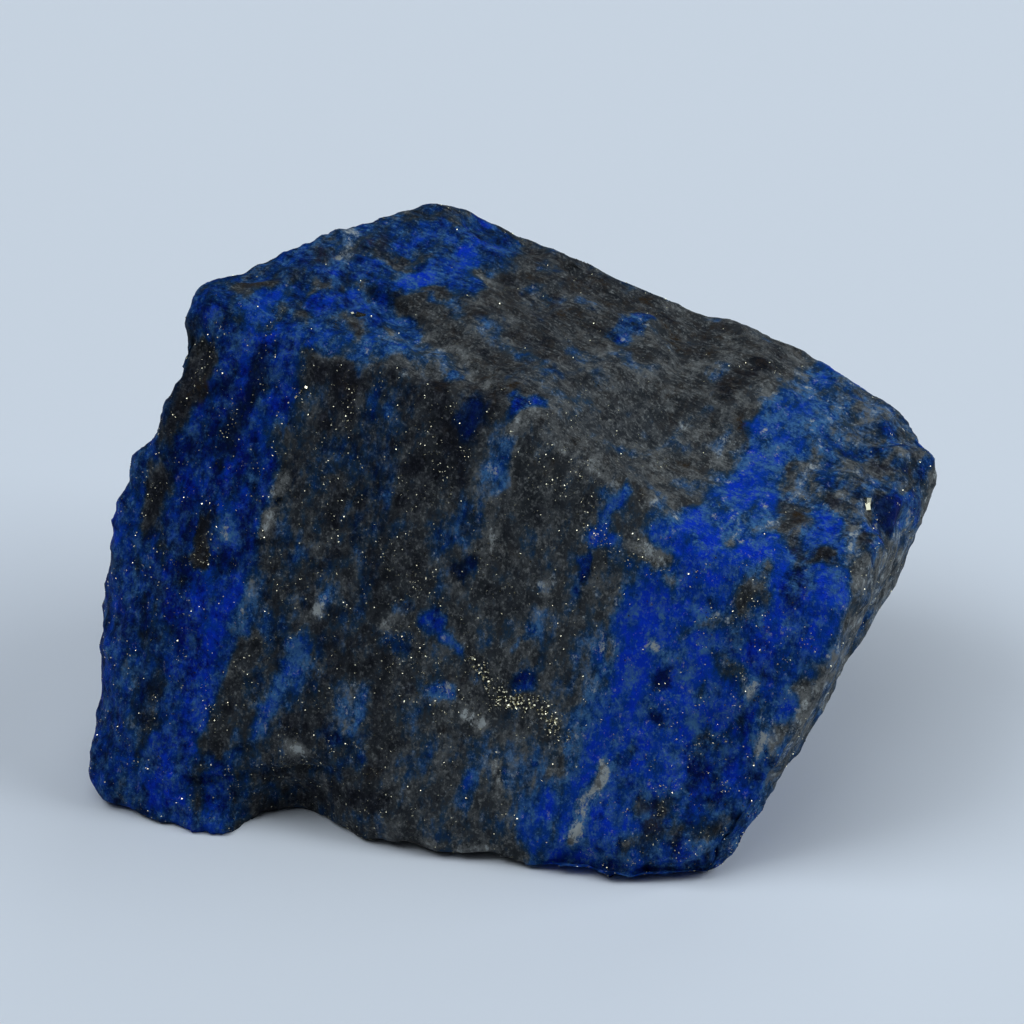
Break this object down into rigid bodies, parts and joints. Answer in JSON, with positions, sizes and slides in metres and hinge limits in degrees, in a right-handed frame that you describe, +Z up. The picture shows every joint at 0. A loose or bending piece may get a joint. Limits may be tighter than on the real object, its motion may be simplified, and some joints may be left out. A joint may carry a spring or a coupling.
{
  "type": "rough lapis lazuli",
  "caption": "Lump of rough lapis lazuli: a wedge of blue rock with grey bands, pyrite specks and broken faces, standing flat on its sole.",
  "frame": {"origin": "on the ground, under the middle of the lump's box", "axes": "+X from the tall left end to the low right end, along the longest extent; +Z up; the broad broken front looks towards -Y"},
  "size_m": [0.076, 0.0508, 0.0449],
  "materials": {
    "lapis_lazuli": "rough broken stone, deep blue with grey-black bands, pale calcite and brassy specks, matt with a faint sheen"
  },
  "bodies": {
    "root": {"rough_lapis_lazuli": "lapis_lazuli"}
  },
  "joints": []
}
